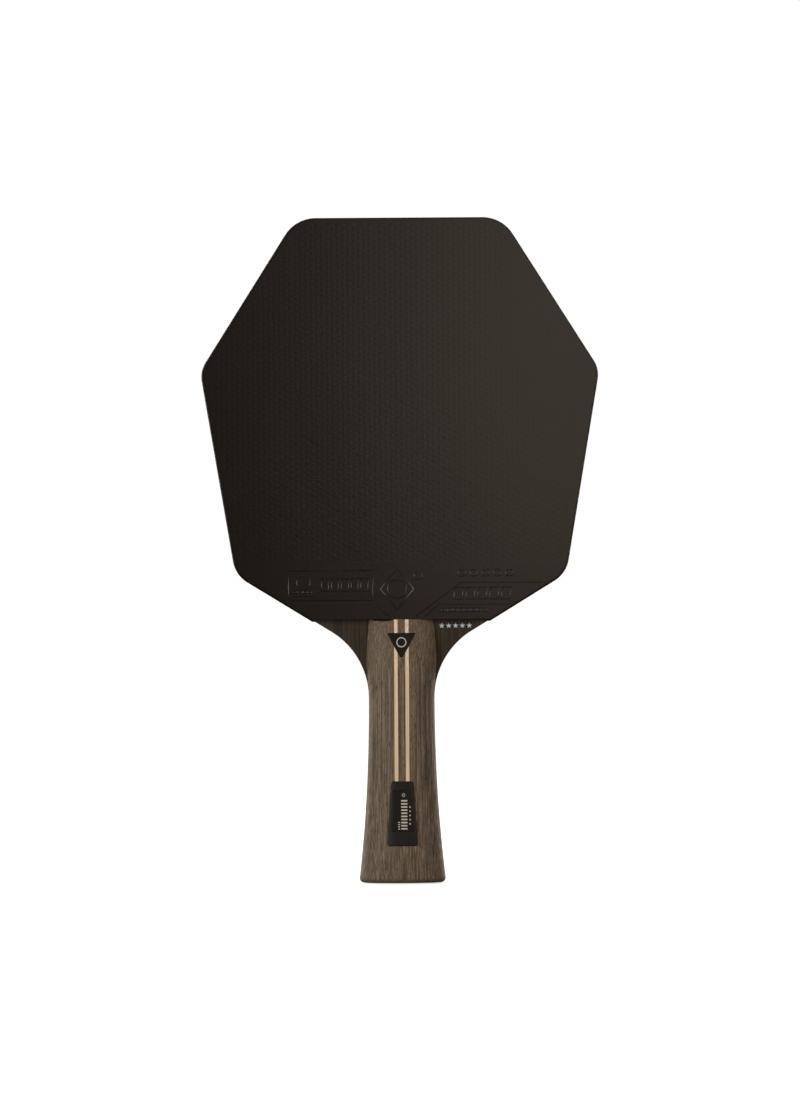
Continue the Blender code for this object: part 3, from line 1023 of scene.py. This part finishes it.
def add_badge(frame_material, plate_material):
    outer, window = badge_shapes()
    outlines = [inset_corners(outer, inset) for drop, inset in BADGE_OUTER_ROUNDING]
    outlines += [inset_corners(window, inset) for drop, inset in BADGE_INNER_ROUNDING]
    outlines = split_alike(outlines, TRIM_STEP)
    drops = [drop for drop, inset in BADGE_OUTER_ROUNDING + BADGE_INNER_ROUNDING]
    rims = [lift(flat, on_scale(BADGE_PROUD - drop)) for flat, drop in zip(outlines, drops)]
    count = len(BADGE_OUTER_ROUNDING)
    steps = [between(outlines[count - 1], outlines[count], share) for share in BADGE_FACE_STEPS]
    rings = [lift(outlines[0], -BADGE_FLOOR), *rims[:count]]
    rings += [lift(flat, on_scale(BADGE_PROUD)) for flat in steps]
    rings += [*rims[count:], lift(outlines[-1], -BADGE_FLOOR)]
    mesh = ring_solid("badge_frame", rings, closed=True)
    add_piece("badge_frame_finished", mesh, frame_material, "badge_surround", ["badge_frame"])
    outline = inset_corners(window, PLATE_GAP)
    mesh = draped_plate("badge_plate", outline, -BADGE_FLOOR, PLATE_PROUD, PLATE_EDGE)
    add_piece("badge_plate_finished", mesh, plate_material, "badge_panel", ["badge_plate"])


def pill(low_x, high_x, z, radius):
    """A short horizontal bar with round ends."""
    points = []
    for middle, first in ((high_x - radius, -pi / 2), (low_x + radius, pi / 2)):
        for step in range(PILL_STEPS + 1):
            angle = first + pi * step / PILL_STEPS
            points.append((middle + radius * cos(angle), z + radius * sin(angle)))
    return points


def pill_rows(rows):
    return [
        pill(low_x, high_x, first + pitch * step, radius)
        for low_x, high_x, first, pitch, radius, count in rows
        for step in range(count)
    ]


def add_marks(name, outlines, low, high, material, slot):
    """Thin raised shapes between two surfaces, in one piece."""
    form = bmesh.new()
    for outline in outlines:
        add_rings(form, [lift(outline, low), lift(outline, high)])
    return add_piece(name, finish_mesh(name, form), material, slot)


def add_ring_mark(name, ring, low, high, material, slot):
    """A thin raised ring."""
    x, z, radius, width = ring
    outer = circle(x, z, radius + width / 2)
    inner = circle(x, z, radius - width / 2)
    rings = [lift(outer, low), lift(outer, high), lift(inner, high), lift(inner, low)]
    return add_piece(name, ring_solid(name, rings, closed=True), material, slot)


def add_badge_marks(frame_material, mark_material):
    """Plain bars, dots and a ring on the badge's plate, and low ridges on its frame."""
    low = on_scale(PLATE_PROUD - MARK_SINK)
    high = on_scale(PLATE_PROUD + MARK_PROUD)
    x, first, pitch, radius, count = BADGE_DOTS
    dots = [circle(x, first + pitch * step, radius, 16) for step in range(count)]
    marks = pill_rows(BADGE_BARS) + dots
    add_marks("badge_marks", marks, low, high, mark_material, "badge_panel")
    add_ring_mark("badge_ring", BADGE_RING, low, high, mark_material, "badge_panel")
    low = on_scale(BADGE_PROUD - RIDGE_SINK)
    high = on_scale(BADGE_PROUD + RIDGE_PROUD)
    add_marks("badge_ridges", pill_rows(BADGE_RIDGES), low, high, frame_material, "badge_surround")


def add_emblem(plate_material, mark_material):
    floor = under_middle(EMBLEM_DEPTH)
    mesh = draped_plate("emblem_plate", emblem_shape(), floor, EMBLEM_PROUD, EMBLEM_EDGE)
    add_piece("emblem_plate_finished", mesh, plate_material, "emblem", ["emblem_plate"])
    low = on_scale(EMBLEM_PROUD - MARK_SINK)
    high = on_scale(EMBLEM_PROUD + MARK_PROUD)
    add_ring_mark("emblem_ring", EMBLEM_RING, low, high, mark_material, "emblem")


def pockets_of_trim():
    """Cutters of the pockets that the badge and the emblem sit in."""
    badge = split_sides(inset_corners(badge_shapes()[0], -POCKET_GAP), 2.0)
    emblem = split_sides(inset_corners(emblem_shape(), -POCKET_GAP), 1.0)
    return [
        pocket("badge_pocket", badge, POCKET_OVERLAP - BADGE_FLOOR),
        pocket("emblem_pocket", emblem, under_middle(EMBLEM_DEPTH - POCKET_OVERLAP)),
    ]


# Edge tape and stars


def last_tape_point(outline):
    """Index of the outline's lower left corner; the points after it are on its lower side."""
    lowest = min(z for x, z in outline)
    return min(index for index, (x, z) in enumerate(outline) if x < 0 and z < lowest + ALIKE)


def add_tape(material):
    profile = [(inset, -y) for inset, y in TAPE_SECTION] + TAPE_SECTION[::-1]
    outlines = {inset: head_outline(inset, TAPE_BOTTOM) for inset, y in profile}
    rings = []
    for index in range(last_tape_point(outlines[TAPE]) + 1):
        ring = []
        for inset, y in profile:
            x, z = outlines[inset][index]
            ring.append((x, y, z))
        rings.append(ring)
    add_piece("edge_tape_finished", ring_solid("edge_tape", rings), material, "tape", ["edge_tape"])


def add_stars(material):
    places = [STAR_FIRST + STAR_PITCH * step for step in range(STAR_COUNT)]
    stars = [star(x, STAR_HEIGHT, STAR_RADIUS) for x in places]
    low = MARK_SINK - BLADE_FACE
    add_marks("rating_stars", stars, low, -BLADE_FACE - MARK_PROUD, material, "emblem")


# Studio, in metres

CAMERA_X = -0.0003
CAMERA_HEIGHT = 0.1285
CAMERA_DISTANCE = 3.546
CAMERA_ROLL = radians(0.35)
LENS = 300.0  # in millimetres, like the sensor's width
SENSOR = 36.0
FLOOR_RADIUS = 6.0
FLOOR_DROP = 0.0004  # below the butt, so that the two faces don't coincide


def aim(thing, place, target):
    thing.location = Vector(place)
    direction = Vector(target) - Vector(place)
    thing.rotation_mode = "QUATERNION"
    thing.rotation_quaternion = direction.to_track_quat("-Z", "Y")


# Name, place, target, width, height, power and colour
LIGHTS = [
    ("key_left", (-1.15, -0.9, 0.18), (0, 0, 0.1), 0.5, 0.8, 23.5, (1.0, 0.96, 0.91)),
    ("sheen", (0.08, -0.5, 0.24), (0.08, 0, 0.24), 0.15, 0.3, 0.40, (1.0, 0.83, 0.67)),
    ("fill_right", (1.1, -0.7, 0.3), (0, 0, 0.1), 0.6, 0.8, 7.6, (1.0, 0.95, 0.88)),
    ("back_left", (-1.0, 1.2, 0.5), (0, 0, 0.13), 0.7, 0.9, 15.0, (1.0, 0.98, 0.95)),
    ("back_right", (0.9, 1.2, 0.4), (0, 0, 0.13), 0.5, 0.9, 10.0, (1.0, 0.97, 0.93)),
    ("top", (0.0, 0.0, 1.3), (0, 0, 0.1), 0.9, 0.9, 6.0, (1.0, 0.98, 0.95)),
]


def add_lights():
    for name, place, target, width, height, power, colour in LIGHTS:
        data = bpy.data.lights.new(name, "AREA")
        data.shape = "RECTANGLE"
        data.size = width
        data.size_y = height
        data.energy = power
        data.color = colour
        light = bpy.data.objects.new(name, data)
        bpy.context.scene.collection.objects.link(light)
        aim(light, place, target)
        light.visible_camera = False


def add_world():
    """White where the camera sees it, and a dim even light for everything else."""
    world = bpy.data.worlds.new("studio")
    world.use_nodes = True
    tree = world.node_tree
    tree.nodes.clear()
    seen = add_node(tree, "ShaderNodeBackground", {"Color": (1, 1, 1, 1), "Strength": 1.0})
    ambient = add_node(tree, "ShaderNodeBackground", {"Color": (1, 0.92, 0.82, 1), "Strength": 0.05})
    path = add_node(tree, "ShaderNodeLightPath")
    mixed = add_node(tree, "ShaderNodeMixShader", {0: path.outputs["Is Camera Ray"]})
    tree.links.new(ambient.outputs[0], mixed.inputs[1])
    tree.links.new(seen.outputs[0], mixed.inputs[2])
    output = add_node(tree, "ShaderNodeOutputWorld")
    tree.links.new(mixed.outputs[0], output.inputs["Surface"])
    bpy.context.scene.world = world


def add_floor():
    """A pale floor that glows with painted light: the glow is weaker near the paddle, a painted shade
    round it that lets its real shadow show, and stronger farther out, where the floor runs into the
    white around it.
    """
    form = bmesh.new()
    bmesh.ops.create_circle(form, cap_ends=True, radius=FLOOR_RADIUS, segments=64)
    mesh = bpy.data.meshes.new("floor")
    form.to_mesh(mesh)
    form.free()
    floor = bpy.data.objects.new("floor", mesh)
    floor.location.z = -FLOOR_DROP
    bpy.context.scene.collection.objects.link(floor)
    material, tree, shader, place = new_material("glowing_floor", 0.95, 0.0)
    away = add_node(tree, "ShaderNodeVectorMath", {0: place}, operation="LENGTH").outputs["Value"]
    # painted light: the floor's glow rises from dim beside the paddle to bright far from it
    glow = map_range(tree, away, 0.1, 0.9, 0.62, 1.1)
    shader.inputs["Base Color"].default_value = (0.8, 0.8, 0.8, 1.0)
    shader.inputs["Emission Color"].default_value = (1.0, 1.0, 1.0, 1.0)
    tree.links.new(glow, shader.inputs["Emission Strength"])
    mesh.materials.append(material)
    floor.visible_glossy = False
    floor.visible_diffuse = False


def add_camera():
    data = bpy.data.cameras.new("camera")
    data.lens = LENS
    data.sensor_width = SENSOR
    camera = bpy.data.objects.new("camera", data)
    bpy.context.scene.collection.objects.link(camera)
    place = Matrix.Translation((CAMERA_X, -CAMERA_DISTANCE, CAMERA_HEIGHT))
    level = Matrix.Rotation(radians(90), 4, "X")
    camera.matrix_world = place @ level @ Matrix.Rotation(-CAMERA_ROLL, 4, "Z")
    bpy.context.scene.camera = camera


def add_paddle(looks):
    add_blade(looks["core_wood"], looks["inner_ply_wood"], looks["carbon_weave"], looks["blade_veneer"])
    black = looks["black_rubber"]
    sponge = looks["black_sponge"]
    add_rubber("front", -1, [black, looks["black_rubber_cut"]], sponge, "black_rubber")
    add_rubber("back", 1, [looks["red_rubber"], looks["red_rubber_cut"]], sponge, "red_rubber")
    depth = RELIEF_SINK - RUBBER_FACE
    add_tubes("rubber_relief", relief_lines(), RELIEF_RADIUS, depth, black, "black_rubber")
    add_tape(looks["tape"])
    pockets = pockets_of_trim()
    add_handle(looks, pockets)
    for cutter in pockets:
        bpy.data.objects.remove(cutter)
    add_badge(looks["badge_surround"], looks["badge_panel"])
    add_badge_marks(looks["badge_surround"], looks["pale_print"])
    add_emblem(looks["emblem_plate"], looks["pale_print"])
    add_stars(looks["silver_print"])


def main():
    add_paddle({name: make(name, *details) for make, name, *details in MATERIALS})
    add_world()
    add_floor()
    add_lights()
    add_camera()
    bpy.context.scene.view_settings.view_transform = "Standard"


main()
